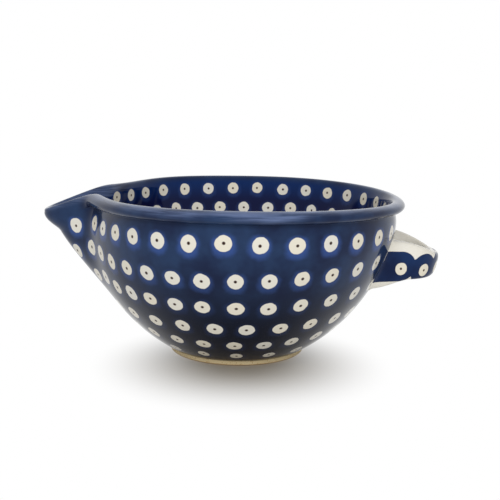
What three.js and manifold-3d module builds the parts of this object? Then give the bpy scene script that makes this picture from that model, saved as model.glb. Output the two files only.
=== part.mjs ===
// Handled pouring bowl in glazed stoneware.
// Millimetres, +Z up. The spout points to -X and the handle to +X.
import * as THREE from 'three';
import { mergeVertices } from 'three/addons/utils/BufferGeometryUtils.js';
import Module from 'manifold-3d';

const wasm = await Module();
wasm.setup();
const { clamp, degToRad, lerp, mapLinear, smoothstep } = THREE.MathUtils;

// Bowl: overall sizes, wall and foot
const rimRadius = 100;
const rimHeight = 98.3;
const wallThickness = 6;
const floorThickness = 5.5;
const footRadius = 41.3;
const footHeight = 3;
const footWidth = 6.5;
const footEdge = 0.7;

// Curve of the wall: its run out from the foot and its belly under the rim
const heelStep = 1;
const heelRun = 28.5;
const heelRise = 4.4;
const bellySwell = 9.2;
const bellyDrop = 15.6;

// Floor inside: how high its edge sweeps up, and how far out the sweep begins
const floorSweep = 2;
const floorFlatness = 0.8;

// Rolled rim: its height, how far it stands out from the wall, and how far its crest lies from its edge
const beadHeight = 6.9;
const beadOverhang = 6.2;
const beadCrest = 5.5;

// Spout pulled out of the wall, with a pinch on both sides and a lip that dips and thins to its tip
const spoutRoot = 30;
const spoutPull = 22;
const spoutGrowth = 1.5;
const beakSpread = degToRad(10.2);
const beakNarrowing = degToRad(1.8);
const beakSquareness = 3;
const pinchDepth = 8.8;
const pinchAngle = degToRad(26);
const pinchSpread = degToRad(26);
const lipDip = 11.8;
const lipThinning = 0.3;
const shoulderDip = 1;
const shoulderAngle = degToRad(32);
const shoulderSpread = degToRad(20);
const spoutSeam = degToRad(34);

// Loop handle: a strap on edge, deepest at its two roots on the wall
const handleDepth = 33;
const handleWidth = 58;
const strapThickness = 7;
const strapSquareness = 3;
const loopSquareness = 2.5;
const rootBelowRim = 18;
const rootDepth = 29;
const loopTopFall = 9.5;
const loopBottomRise = 5.5;
const topFallPower = 1.8;
const bottomFlare = 25;
const loopLean = 3;
const rootSwell = 2;
const rootSwellLength = 5;
const rootLength = 8;

// Thickness of the slip between the clay pieces
const slip = 0.3;

// Fineness of the curved faces
const roundSteps = 112;
const spoutCrowding = 0.55;
const wallSteps = 13;
const floorSteps = 3;
const beadSteps = 5;
const loopSteps = 30;
const strapSteps = 16;
const weldDistance = 1e-4;

// Sizes that follow from the ones above
const wallTop = rimHeight - beadHeight - slip;
const wallTopRadius = rimRadius - beadOverhang;
const floorTop = footHeight + floorThickness;
const clearOfAll = 2 * (rimRadius + spoutPull + handleDepth);

const spot = (radius, height) => new THREE.Vector2(radius, height);
const bell = (angle, spread) => Math.exp(-((angle / spread) ** 2));
const bothSides = (angle, side, spread) => bell(angle - side, spread) + bell(angle + side, spread);
const rounded = (value, squareness) => Math.sign(value) * Math.abs(value) ** (2 / squareness);

// Solids and meshes
function solidOf(geometry) {
  geometry.deleteAttribute('normal');
  geometry.deleteAttribute('uv');
  const welded = mergeVertices(geometry, weldDistance);
  const corners = welded.index.array;
  const faces = [];
  for (let i = 0; i < corners.length; i += 3) {
    const [a, b, c] = corners.slice(i, i + 3);
    if (a !== b && b !== c && c !== a) faces.push(a, b, c);
  }
  return new wasm.Manifold(new wasm.Mesh({
    numProp: 3,
    vertProperties: Float32Array.from(welded.attributes.position.array),
    triVerts: Uint32Array.from(faces),
  }));
}

function meshOf(name, solid, color, roughness) {
  const { vertProperties, triVerts } = solid.getMesh();
  const geometry = new THREE.BufferGeometry();
  geometry.setAttribute('position', new THREE.BufferAttribute(vertProperties, 3));
  geometry.setIndex(new THREE.BufferAttribute(triVerts, 1));
  geometry.computeVertexNormals();
  const material = new THREE.MeshStandardMaterial({ color, roughness, metalness: 0 });
  const mesh = new THREE.Mesh(geometry, material);
  mesh.name = name;
  return mesh;
}

function reshape(geometry, change) {
  const places = geometry.attributes.position;
  const place = new THREE.Vector3();
  for (let i = 0; i < places.count; i += 1) {
    change(place.fromBufferAttribute(places, i));
    places.setXYZ(i, place.x, place.y, place.z);
  }
  return geometry;
}

function setRadius(place, radius) {
  const before = Math.hypot(place.x, place.y);
  const scale = before > 0 ? radius / before : 1;
  place.x *= scale;
  place.y *= scale;
}

// A round form turned about the bowl's axis, its facets crowded towards the spout
function turned(outline) {
  const geometry = new THREE.LatheGeometry(outline, roundSteps);
  geometry.rotateX(Math.PI / 2);
  return reshape(geometry, (place) => {
    const radius = Math.hypot(place.x, place.y);
    const angle = Math.atan2(place.y, place.x);
    const crowded = angle + spoutCrowding * Math.sin(angle);
    place.x = radius * Math.cos(crowded);
    place.y = radius * Math.sin(crowded);
  });
}

// The beak's share of the pull, in a narrower round inside, so that its flanks keep their thickness
function beakShare(angle, radius, height) {
  const inward = clamp(wallRadiusAt(Math.min(height, wallTop)) - radius, 0, wallThickness);
  const spread = beakSpread - beakNarrowing * inward / wallThickness;
  return Math.exp(-(Math.abs(angle / spread) ** beakSquareness));
}

// The pull that forms the spout: it moves wall and rim alike and grows with the height
function pullSpout(place) {
  const radius = Math.hypot(place.x, place.y);
  const angle = Math.atan2(place.y, -place.x);
  const share = Math.max(0, (place.z - spoutRoot) / (rimHeight - spoutRoot)) ** spoutGrowth;
  const beak = beakShare(angle, radius, place.z);
  const pinch = bothSides(angle, pinchAngle, pinchSpread) - bothSides(0, pinchAngle, pinchSpread) * beak;
  const pull = spoutPull * beak - pinchDepth * pinch;
  const shoulder = shoulderDip * bothSides(angle, shoulderAngle, shoulderSpread);
  const dip = lipDip * beak + shoulder;
  const middle = wallTopRadius - wallThickness / 2;
  const thinned = (radius - middle) * (1 - lipThinning * beak * share ** 2);
  setRadius(place, middle + thinned + pull * share);
  place.z -= dip * share;
}

// Wall: one curve outside, the same curve a wall's thickness further in, and a floor that sweeps into it
const heel = spot(footRadius + heelStep, footHeight);
const outerCurve = new THREE.CubicBezierCurve(
  heel,
  spot(heel.x + heelRun, heel.y + heelRise),
  spot(wallTopRadius + bellySwell, wallTop - bellyDrop),
  spot(wallTopRadius, wallTop),
);

function wallOffset(distance) {
  return outerCurve.getPoints(wallSteps).map((place, i) => {
    const along = outerCurve.getTangent(i / wallSteps);
    return spot(place.x + along.y * distance, place.y - along.x * distance);
  });
}

const outerWall = wallOffset(0);

function wallRadiusAt(height) {
  const above = outerWall.findIndex((place) => place.y >= height);
  const step = clamp(above < 0 ? wallSteps : above, 1, wallSteps);
  const [low, high] = [outerWall[step - 1], outerWall[step]];
  return mapLinear(height, low.y, high.y, low.x, high.x);
}

function wallOutline() {
  const topInside = spot(wallTopRadius - wallThickness, wallTop);
  const inside = wallOffset(-wallThickness).reverse();
  const inner = inside.filter((place) => place.y > floorTop + floorSweep && place.y < wallTop);
  const edge = inner.pop();
  const sweep = spot(edge.x * floorFlatness, floorTop);
  const floor = new THREE.QuadraticBezierCurve(edge, sweep, spot(0, floorTop));
  return [spot(0, footHeight), ...outerWall, topInside, ...inner, ...floor.getPoints(floorSteps)];
}

const wall = solidOf(reshape(turned(wallOutline()), pullSpout));

// Rolled rim, seated on the wall's top edge
function beadOutline() {
  const seat = rimHeight - beadHeight;
  const crest = rimRadius - beadCrest;
  const inside = wallTopRadius - wallThickness;
  const quarter = Math.PI / 2;
  const roll = new THREE.EllipseCurve(
    crest, seat + beadHeight / 2, beadCrest, beadHeight / 2, -quarter, quarter,
  );
  const back = new THREE.EllipseCurve(crest, seat, crest - inside, beadHeight, quarter, 2 * quarter);
  const front = roll.getPoints(2 * beadSteps);
  return [...front, ...back.getPoints(beadSteps).slice(1), front[0]];
}

const bead = solidOf(reshape(turned(beadOutline()), pullSpout));

// Spout seam: a wedge about -X that parts the beak from the bowl, and its lip from the rim
function seamWedge(growth) {
  const tip = growth / Math.sin(spoutSeam);
  const side = (clearOfAll + tip) * Math.tan(spoutSeam);
  const plan = new THREE.Shape([
    spot(tip, 0),
    spot(-clearOfAll, side),
    spot(-clearOfAll, -side),
  ]);
  const wedge = new THREE.ExtrudeGeometry(plan, { depth: rimHeight, bevelEnabled: false });
  return solidOf(wedge.translate(0, 0, spoutRoot - growth));
}

const insideSeam = seamWedge(-slip / 2);
const outsideSeam = seamWedge(slip / 2);

// Foot ring under the bowl's floor
function footOutline() {
  const top = footHeight - slip;
  const inside = footRadius - footWidth;
  return [
    spot(inside, footEdge),
    spot(inside + footEdge, 0),
    spot(footRadius - footEdge, 0),
    spot(footRadius, footEdge),
    spot(footRadius + heelStep / 2, top),
    spot(inside - footEdge, top),
    spot(inside, footEdge),
  ];
}

const foot = solidOf(turned(footOutline()));

// Handle: where its two legs stand on the wall, and how far its loop runs out
const rootTop = wallTop - rootBelowRim;
const rootBottom = rootTop - rootDepth;
const legOffset = (handleWidth - strapThickness) / 2;
const loopStart = Math.sqrt(wallRadiusAt(rootTop) ** 2 - legOffset ** 2);
const loopEnd = loopStart + handleDepth - strapThickness / 2;
const legFoot = Math.sqrt(wallRadiusAt(rootBottom) ** 2 - legOffset ** 2);
const legEnd = legFoot - strapThickness;

// The line along the middle of the strap, seen from above: a leg, a round-cornered bend and a leg
class LoopLine extends THREE.Curve {
  getPoint(share, target = new THREE.Vector3()) {
    const legPart = 0.5;
    const along = lerp(-1 - legPart, 1 + legPart, share);
    const turn = clamp(along, -1, 1) * Math.PI / 2;
    const legShare = Math.max(0, Math.abs(along) - 1) / legPart;
    const bend = lerp(loopStart, loopEnd, rounded(Math.max(0, Math.cos(turn)), loopSquareness));
    const out = bend - legShare * (loopStart - legEnd);
    return target.set(out, legOffset * rounded(Math.sin(turn), loopSquareness), 0);
  }
}

// The strap's section, from -1 to 1 in height until it is fitted between the strap's edges
function strapSection() {
  const places = [];
  for (let i = 0; i < strapSteps; i += 1) {
    const turn = (i / strapSteps) * 2 * Math.PI;
    const up = rounded(Math.cos(turn), strapSquareness);
    const across = rounded(Math.sin(turn), strapSquareness) * strapThickness / 2;
    places.push(spot(up, across));
  }
  return new THREE.Shape(places);
}

// Upper and lower edges of the strap, its lean at the bend, and the swelling where it joins the wall
function fitStrap(place) {
  const bend = clamp((place.x - loopStart) / (loopEnd - loopStart), 0, 1);
  const top = rootTop - loopTopFall * bend ** topFallPower;
  const bottom = rootBottom + loopBottomRise * smoothstep(place.x, legFoot, legFoot + bottomFlare);
  const lean = loopLean * bend * (1 - place.z) / 2;
  place.z = mapLinear(place.z, -1, 1, bottom, top);
  const fromWall = Math.max(0, Math.hypot(place.x, place.y) - wallRadiusAt(place.z));
  const swell = rootSwell * Math.exp(-fromWall / rootSwellLength) / (strapThickness / 2);
  place.y += Math.sign(place.y) * (Math.abs(place.y) - legOffset) * swell;
  place.x -= lean;
}

function wallGrownBy(growth) {
  const grown = wallOffset(growth);
  return solidOf(turned([spot(0, grown[0].y), ...grown, spot(0, grown[wallSteps].y)]));
}

function halfSpace(side) {
  const block = new THREE.BoxGeometry(clearOfAll, clearOfAll, clearOfAll);
  return solidOf(block.translate(0, side * clearOfAll / 2, 0));
}

const strapBlank = new THREE.ExtrudeGeometry(strapSection(), {
  steps: loopSteps,
  extrudePath: new LoopLine(),
});
const handle = solidOf(reshape(strapBlank, fitStrap)).subtract(wallGrownBy(slip));
const roots = handle.intersect(wallGrownBy(rootLength - slip / 2));
const strap = handle.subtract(wallGrownBy(rootLength + slip / 2));

// Colours and finishes
const navy = 0x1b2350;
const cream = 0xe9e4d6;
const biscuit = 0xcbb894;
const glazed = 0.12;
const unglazed = 0.85;

// The bowl, centred over the table by its own outline
const bowl = new THREE.Group();
bowl.add(
  meshOf('foot_ring', foot, biscuit, unglazed),
  meshOf('bowl_body', wall.subtract(outsideSeam), navy, glazed),
  meshOf('rim_bead', bead.subtract(outsideSeam), navy, glazed),
  meshOf('spout_beak', wall.intersect(insideSeam), navy, glazed),
  meshOf('spout_lip', bead.intersect(insideSeam), navy, glazed),
  meshOf('handle_strap', strap, cream, glazed),
  meshOf('handle_root_front', roots.intersect(halfSpace(-1)), cream, glazed),
  meshOf('handle_root_back', roots.intersect(halfSpace(1)), cream, glazed),
);
const middle = new THREE.Box3().setFromObject(bowl).getCenter(new THREE.Vector3());
bowl.position.set(-middle.x, -middle.y, 0);

export default bowl;
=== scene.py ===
import math

import bpy
import numpy as np
from mathutils import Matrix, Vector, kdtree


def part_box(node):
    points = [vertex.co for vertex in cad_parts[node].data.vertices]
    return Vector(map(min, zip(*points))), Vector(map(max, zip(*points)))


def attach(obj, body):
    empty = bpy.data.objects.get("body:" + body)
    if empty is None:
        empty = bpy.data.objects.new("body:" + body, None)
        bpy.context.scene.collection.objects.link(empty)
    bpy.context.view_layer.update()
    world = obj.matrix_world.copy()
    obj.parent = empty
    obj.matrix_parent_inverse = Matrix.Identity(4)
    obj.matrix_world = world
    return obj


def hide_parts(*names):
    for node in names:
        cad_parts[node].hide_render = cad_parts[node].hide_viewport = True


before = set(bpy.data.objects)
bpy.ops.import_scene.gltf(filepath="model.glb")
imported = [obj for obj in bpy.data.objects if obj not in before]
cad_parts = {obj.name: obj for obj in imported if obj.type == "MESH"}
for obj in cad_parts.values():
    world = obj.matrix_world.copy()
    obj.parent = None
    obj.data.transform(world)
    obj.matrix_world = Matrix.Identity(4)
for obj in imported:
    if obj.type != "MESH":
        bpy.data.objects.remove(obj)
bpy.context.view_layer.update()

# Sizes are in millimetres about the bowl's axis, as in the solids, until a mesh is made
MM = 0.001


def solid_box(node):
    low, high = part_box(node)
    return np.array(low) / MM, np.array(high) / MM


# Overall sizes, read from the solids
foot_low, foot_high = solid_box("foot_ring")
wall_low, wall_high = solid_box("bowl_body")
rim_high = solid_box("rim_bead")[1]
AXIS_X = (foot_low[0] + foot_high[0]) / 2
FOOT_TOP_RADIUS = foot_high[1]
FOOT_HEIGHT = wall_low[2]
WALL_TOP = wall_high[2]
RIM_HEIGHT = rim_high[2]
RIM_RADIUS = rim_high[1]

# Wall: its thickness, its run out from the foot, the flare of its lower half and its belly under the rim
WALL_THICKNESS = 6.0
HEEL_STEP = 0.5
HEEL_RUN, HEEL_RISE = 25.4, 15.5
FLARE_RADIUS, FLARE_HEIGHT = 86.5, 38.5
BELLY_SWELL, BELLY_DROP = 6.8, 11.0
# The inside leaves the outer curve half way up and flares out to the rim
MOUTH_FROM = 52.0
MOUTH_BEND_RADIUS, MOUTH_BEND_HEIGHT = 87.6, 74.0
MOUTH_THICKNESS = 3.6
# Inside floor: its thickness, where the wall bends into it, how flat it is and the hub in its middle
FLOOR_THICKNESS = 5.5
FLOOR_TOP = FOOT_HEIGHT + FLOOR_THICKNESS
FLOOR_EDGE_HEIGHT = 18.0
FLOOR_FLATNESS = 0.62
FLOOR_HUB = 2.0

# Rolled rim: how far it stands out, where its crest lies, how round the crease under it is, and its back
BEAD_OVERHANG = 6.2
BEAD_CREST = 5.5
BEAD_SEAT = 91.1
CREASE_REACH, CREASE_LIFT = 1.1, 0.1
BACK_ROUND, BACK_STRAIGHT = 2.6, 3.6
WALL_TOP_RADIUS = RIM_RADIUS - BEAD_OVERHANG

# Spout: pulled out of the wall between two pinches, with a lip that dips and thins to its tip
SPOUT_ROOT = 30.0
SPOUT_PULL = 22.0
SPOUT_GROWTH = 1.5
BEAK_SPREAD, BEAK_NARROWING = math.radians(10.2), math.radians(1.8)
BEAK_SQUARENESS = 3.0
BEAK_FLARE = math.radians(8)
PINCH_DEPTH = 8.8
PINCH_ANGLE, PINCH_SPREAD = math.radians(26), math.radians(26)
LIP_DIP = 11.8
LIP_THINNING, LIP_THINNING_GROWTH = 0.3, 2
SHOULDER_DIP = 1.0
SHOULDER_ANGLE, SHOULDER_SPREAD = math.radians(32), math.radians(20)
SPOUT_SEAM = math.radians(34)

# Where the crease under the rim fades out along the spout, into a blunt chin under the lip
LIP_SMOOTH_FROM, LIP_SMOOTH_BEND = 79.0, 83.0
LIP_CHIN_REACH, LIP_CHIN = 4.5, 89.0
LIP_SMOOTH_ANGLE, LIP_SMOOTH_FADE = math.radians(13), math.radians(1.6)

# Slight unevenness of a bowl that was shaped by hand, with a rim that sags near the handle
SWAY_ROUND = ((2, 0.11, 0.7), (5, 0.05, 2.0))
SWAY_UP = ((3, 0.14, 1.1), (7, 0.06, 0.3))
RIM_SAG = 2.2
RIM_SAG_ANGLE, RIM_SAG_SPREAD = math.radians(-165), math.radians(45)
SWAY_GROWTH = 4

# Loop handle: a strap on edge, deepest at its roots on the wall
HANDLE_DEPTH, HANDLE_WIDTH = 33.0, 58.0
STRAP_THICKNESS = 7.0
STRAP_SQUARENESS, LOOP_SQUARENESS = 3.0, 2.5
ROOT_UNDER_RIM, ROOT_HEIGHT = 18.0, 29.0
ROOT_TOP = WALL_TOP - ROOT_UNDER_RIM
ROOT_BOTTOM = ROOT_TOP - ROOT_HEIGHT
LOOP_TOP_FALL, TOP_FALL_POWER = 9.5, 1.8
LOOP_BOTTOM_RISE, BOTTOM_FLARE = 5.5, 25.0
LOOP_LEAN = 3.0
ROOT_SWELL, ROOT_SWELL_LENGTH = 2.0, 5.0
ROOT_LENGTH = 8.0
ROOT_FILLET, ROOT_FILLET_REACH = 1.3, 1.1
ROOT_SINK = 0.3

# Foot ring: its width, its rubbed edges, the lean of its inner side and the step near its top
FOOT_WIDTH = 6.5
FOOT_EDGE = 0.8
FOOT_LEAN = 0.7
FOOT_TOP_STEP, FOOT_TOP_SHARE = 0.15, 0.75

# Fineness of the meshes, and the shares of the underside and of the foot's face at which rows lie
SPOUT_COLUMNS, BOWL_COLUMNS = 170, 180
LOW_ROWS, HIGH_ROWS, CREASE_ROWS = 22, 34, 6
ROLL_ROWS, BACK_ROWS = 22, 14
FLOOR_ROWS = 26
SECTION_STRANDS, STRAP_ROWS = 96, 100
ROOT_ROWS, ROOT_CROWDING = 12, 1.6
LEG_STEPS = 200
FOOT_COLUMNS, FOOT_EDGE_ROWS = 192, 6
UNDERSIDE_SHARES = (0.12, 0.3, 0.5, 0.68, 0.8, 0.92)
FOOT_SHARES = (0.3, 0.5, 0.7)
FINE = 1500


# Lines and curves in a plane
def bezier(*points):
    share = np.linspace(0, 1, FINE)[:, None]
    points = [np.array(point, float) for point in points]
    while len(points) > 1:
        points = [a + (b - a) * share for a, b in zip(points, points[1:])]
    return points[0]


def arc(centre, radii, start, end):
    turn = np.radians(np.linspace(start, end, FINE))
    return np.stack([centre[0] + radii[0] * np.cos(turn), centre[1] + radii[1] * np.sin(turn)], axis=1)


def run_along(line):
    return np.concatenate([[0], np.cumsum(np.linalg.norm(np.diff(line, axis=0), axis=1))])


def at_runs(line, runs):
    """The places on a line at these distances from its start."""
    run = run_along(line)
    return np.stack([np.interp(runs, run, column) for column in line.T], axis=1)


def evenly(line, steps):
    return at_runs(line, np.linspace(0, run_along(line)[-1], steps + 1))


def between(line, low, high):
    """The stretch of a rising line between two heights."""
    ends = [(np.interp(height, line[:, 1], line[:, 0]), height) for height in (low, high)]
    inside = line[(line[:, 1] > low) & (line[:, 1] < high)]
    return np.vstack([ends[0], inside, ends[1]])


def unit(vectors):
    return vectors / np.linalg.norm(vectors, axis=-1, keepdims=True)


def bell(angle, spread):
    return np.exp(-((angle / spread) ** 2))


def both_sides(angle, side, spread):
    return bell(angle - side, spread) + bell(angle + side, spread)


def rounded(value, squareness):
    return np.sign(value) * np.abs(value) ** (2 / squareness)


def eased(value):
    """From nothing to one, slow at both ends."""
    value = np.clip(value, 0, 1)
    return value**2 * (3 - 2 * value)


# Section of the bowl, from the middle of its underside up the wall, over the rim and down to the floor
heel = (FOOT_TOP_RADIUS + HEEL_STEP, FOOT_HEIGHT)
outer_wall = bezier(
    heel,
    (heel[0] + HEEL_RUN, heel[1] + HEEL_RISE),
    (FLARE_RADIUS, FLARE_HEIGHT),
    (WALL_TOP_RADIUS + BELLY_SWELL, WALL_TOP - BELLY_DROP),
    (WALL_TOP_RADIUS, WALL_TOP),
)
wall_along = unit(np.gradient(outer_wall, axis=0))
wall_out = np.stack([wall_along[:, 1], -wall_along[:, 0]], axis=1)
inner_top = (WALL_TOP_RADIUS - MOUTH_THICKNESS, WALL_TOP)
inner_curve = outer_wall - WALL_THICKNESS * wall_out
inner_curve = inner_curve[inner_curve[:, 1] < MOUTH_FROM]
mouth = bezier(inner_curve[-1], (MOUTH_BEND_RADIUS, MOUTH_BEND_HEIGHT), inner_top)
inner_wall = np.vstack([inner_curve, mouth[1:]])


def wall_radius(height):
    return np.interp(height, outer_wall[:, 1], outer_wall[:, 0])


def bowl_section():
    """Rows of the section, and the numbers of the rows at which pieces meet."""
    crest = (RIM_RADIUS - BEAD_CREST, RIM_HEIGHT)
    bead_half = (RIM_HEIGHT - BEAD_SEAT) / 2
    roll = arc((crest[0], BEAD_SEAT + bead_half), (BEAD_CREST, bead_half), -90, 90)
    roll = at_runs(roll, np.linspace(CREASE_REACH, run_along(roll)[-1], FINE))
    flare = (inner_top[0] - MOUTH_BEND_RADIUS) / (WALL_TOP - MOUTH_BEND_HEIGHT)
    shoulder = inner_top[0] + flare * BACK_STRAIGHT
    back_round = (crest[0] - BACK_ROUND, RIM_HEIGHT)
    back = bezier(crest, back_round, (shoulder, WALL_TOP + BACK_STRAIGHT), inner_top)
    wall_run = run_along(outer_wall)[-1] - CREASE_REACH
    wall_end = at_runs(outer_wall, [wall_run])[0]
    crease = bezier(wall_end, (WALL_TOP_RADIUS, WALL_TOP + CREASE_LIFT), roll[0])
    high_inside = between(inner_wall, SPOUT_ROOT, WALL_TOP)[::-1]
    floor_edge = between(inner_wall, FLOOR_EDGE_HEIGHT, SPOUT_ROOT)[::-1]
    slope = unit(floor_edge[-1] - floor_edge[-2])
    drop = (floor_edge[-1][1] - FLOOR_TOP) / -slope[1]
    knee = floor_edge[-1] + slope * drop * FLOOR_FLATNESS
    floor = bezier(floor_edge[-1], knee, (knee[0] * FLOOR_FLATNESS, FLOOR_TOP), (0, FLOOR_TOP))
    floor_run = run_along(floor)[-1]
    stretches = dict(
        underside=np.array([(share * heel[0], FOOT_HEIGHT) for share in UNDERSIDE_SHARES]),
        outer_low=evenly(between(outer_wall, FOOT_HEIGHT, SPOUT_ROOT), LOW_ROWS),
        outer_high=evenly(between(outer_wall, SPOUT_ROOT, wall_end[1]), HIGH_ROWS)[1:],
        crease_low=evenly(crease, CREASE_ROWS)[1:CREASE_ROWS // 2 + 1],
        crease_high=evenly(crease, CREASE_ROWS)[CREASE_ROWS // 2 + 1:],
        roll=evenly(roll, ROLL_ROWS)[1:],
        back=evenly(back, BACK_ROWS)[1:-1],
        inner_high=evenly(high_inside, HIGH_ROWS + CREASE_ROWS // 2),
        inner_low=evenly(floor_edge, LOW_ROWS // 2)[1:],
        floor=at_runs(floor, np.linspace(0, floor_run - FLOOR_HUB, FLOOR_ROWS))[1:],
    )
    last = dict(zip(stretches, np.cumsum([len(rows) for rows in stretches.values()]) - 1))
    return np.vstack(list(stretches.values())), last


section, row_of = bowl_section()
HEEL_ROW = row_of["underside"] + 1
ROOT_OUT, TOP_OUT = row_of["outer_low"], row_of["crease_low"]
CREST, TOP_IN = row_of["roll"], row_of["back"] + 1
ROOT_IN = row_of["inner_high"]


# The hand's sway and the pull of the spout, on any place of the section at any angle from the spout
def half_turn(angle):
    """The same angle, counted to either side of the spout."""
    return (angle + math.pi) % (2 * math.pi) - math.pi


def swayed(angle, waves, lift):
    return sum(size * np.sin(count * angle + start) for count, size, start in waves) * lift


def sagged(angle):
    return RIM_SAG * bell(half_turn(angle - RIM_SAG_ANGLE), RIM_SAG_SPREAD)


def beak_share(radius, height, angle):
    """The spout's share of the pull: wider low down, and narrower inside to keep the flanks' thickness."""
    inward = np.clip(wall_radius(height) - radius, 0, WALL_THICKNESS) / WALL_THICKNESS
    below = np.clip((RIM_HEIGHT - height) / (RIM_HEIGHT - SPOUT_ROOT), 0, 1)
    spread = BEAK_SPREAD + BEAK_FLARE * below - BEAK_NARROWING * inward
    return np.exp(-np.abs(angle / spread) ** BEAK_SQUARENESS)


def shaped(radius, height, angle):
    """A place of the section, turned to an angle from the spout, swayed and pulled."""
    lift = height / RIM_HEIGHT
    beak = beak_share(radius, height, angle)
    radius = radius + swayed(angle, SWAY_ROUND, lift) * np.minimum(radius / RIM_RADIUS, 1)
    share = np.maximum(0, (height - SPOUT_ROOT) / (RIM_HEIGHT - SPOUT_ROOT)) ** SPOUT_GROWTH
    height = height + swayed(angle, SWAY_UP, lift**SWAY_GROWTH) - sagged(angle) * lift**SWAY_GROWTH
    level = both_sides(0, PINCH_ANGLE, PINCH_SPREAD)
    pinch = both_sides(angle, PINCH_ANGLE, PINCH_SPREAD) - level * beak
    pull = SPOUT_PULL * beak - PINCH_DEPTH * pinch
    dip = LIP_DIP * beak + SHOULDER_DIP * both_sides(angle, SHOULDER_ANGLE, SHOULDER_SPREAD)
    middle = WALL_TOP_RADIUS - WALL_THICKNESS / 2
    thinned = 1 - LIP_THINNING * beak * share**LIP_THINNING_GROWTH
    radius = middle + (radius - middle) * thinned + pull * share
    height = height - dip * share
    return np.stack([-radius * np.cos(angle), radius * np.sin(angle), height], axis=-1)


def faded_crease(radius, height, angle):
    """Along the spout's tip the rim's roll sweeps out of the wall with no crease."""
    first = int(np.argmax(section[:, 1] > LIP_SMOOTH_FROM))
    last = TOP_OUT + CREASE_ROWS // 2 + ROLL_ROWS // 2
    rows = slice(first, last + 1)
    bend = (wall_radius(LIP_SMOOTH_BEND), LIP_SMOOTH_BEND)
    sweep = bezier(section[first], bend, (RIM_RADIUS + LIP_CHIN_REACH, LIP_CHIN), section[last])
    run = run_along(section[rows])
    sweep = at_runs(sweep, run * run_along(sweep)[-1] / run[-1])
    weight = 1 / (1 + np.exp((np.abs(angle) - LIP_SMOOTH_ANGLE) / LIP_SMOOTH_FADE))
    for field, column in ((radius, 0), (height, 1)):
        field[rows] += (sweep[:, column:column + 1] - field[rows]) * weight


# Pieces of clay: places, and faces with a normal, a dot's stamp and a place in a band for each corner
NO_STAMP = (9.0, 9.0)


class Clay:
    def __init__(self, places, normals):
        self.places = places
        self.normals = normals
        self.blocks = []

    def lay(self, sheet, dots=None, band=None, smooth=True, paint=0):
        """A sheet of quads over a grid of place numbers."""
        corners = np.stack([sheet[:-1, :-1], sheet[1:, :-1], sheet[1:, 1:], sheet[:-1, 1:]], axis=-1)
        self.keep(corners.reshape(-1, 4), dots, band, smooth, paint)

    def keep(self, corners, dots=None, band=None, smooth=True, paint=0):
        places = self.places[corners]
        if smooth:
            normals = self.normals[corners]
        else:
            flat = unit(np.cross(places[:, 1] - places[:, 0], places[:, 2] - places[:, 0]))
            normals = np.repeat(flat[:, None], corners.shape[1], axis=1)
        stamps = np.full(corners.shape + (2,), NO_STAMP)
        chances = np.zeros(corners.shape + (2,))
        if dots:
            stamps, chances = dots.stamp(corners, places)
        bands = band(corners) if band else np.full(corners.shape + (2,), NO_STAMP)
        paints, smooths = np.full(len(corners), paint), np.full(len(corners), smooth)
        self.blocks.append((corners, normals, stamps, chances, bands, paints, smooths))

    def fired(self, name, node, materials):
        """The piece as an object that stands for its solid."""
        corners, normals, stamps, chances, bands, paints, smooths = zip(*self.blocks)
        used, local = np.unique(np.concatenate([block.ravel() for block in corners]), return_inverse=True)
        splits = np.cumsum([block.size for block in corners])[:-1]
        faces = []
        for block, part in zip(corners, np.split(local, splits)):
            faces += part.reshape(block.shape).tolist()
        places = (self.places[used] + (AXIS_X, 0, 0)) * MM
        mesh = bpy.data.meshes.new(name)
        mesh.from_pydata(places.tolist(), [], faces)
        mesh.polygons.foreach_set("use_smooth", np.concatenate(smooths))
        for material in materials:
            mesh.materials.append(material)
        mesh.polygons.foreach_set("material_index", np.concatenate(paints).astype(np.int32))
        for label, blocks in (("stamp", stamps), ("chance", chances), ("band", bands)):
            values = np.concatenate([block.reshape(-1, 2) for block in blocks])
            layer = mesh.uv_layers.new(name=label, do_init=False)
            layer.uv.foreach_set("vector", values.astype(np.float32).ravel())
        ways = np.concatenate([block.reshape(-1, 3) for block in normals])
        mesh.normals_split_custom_set(ways.tolist())
        piece = bpy.data.objects.new(name, mesh)
        bpy.context.scene.collection.objects.link(piece)
        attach(piece, "root")
        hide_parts(node)


# Stamped dots: each face takes the dot nearest to it, and each corner its place in that dot, in dot radii
# The seeds and the spread of their turn, squash, size and place, and the step that finds a dot's own axes
OUTSIDE_SEED, INSIDE_SEED = 7, 11
DOT_TURN, DOT_SQUASH, DOT_SIZE = 0.16, 0.03, 0.025
DOT_SWAY = 0.3
DOT_STEP = 0.5
LEAST_RADIUS = 1.0
TINY = 1e-6


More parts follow.
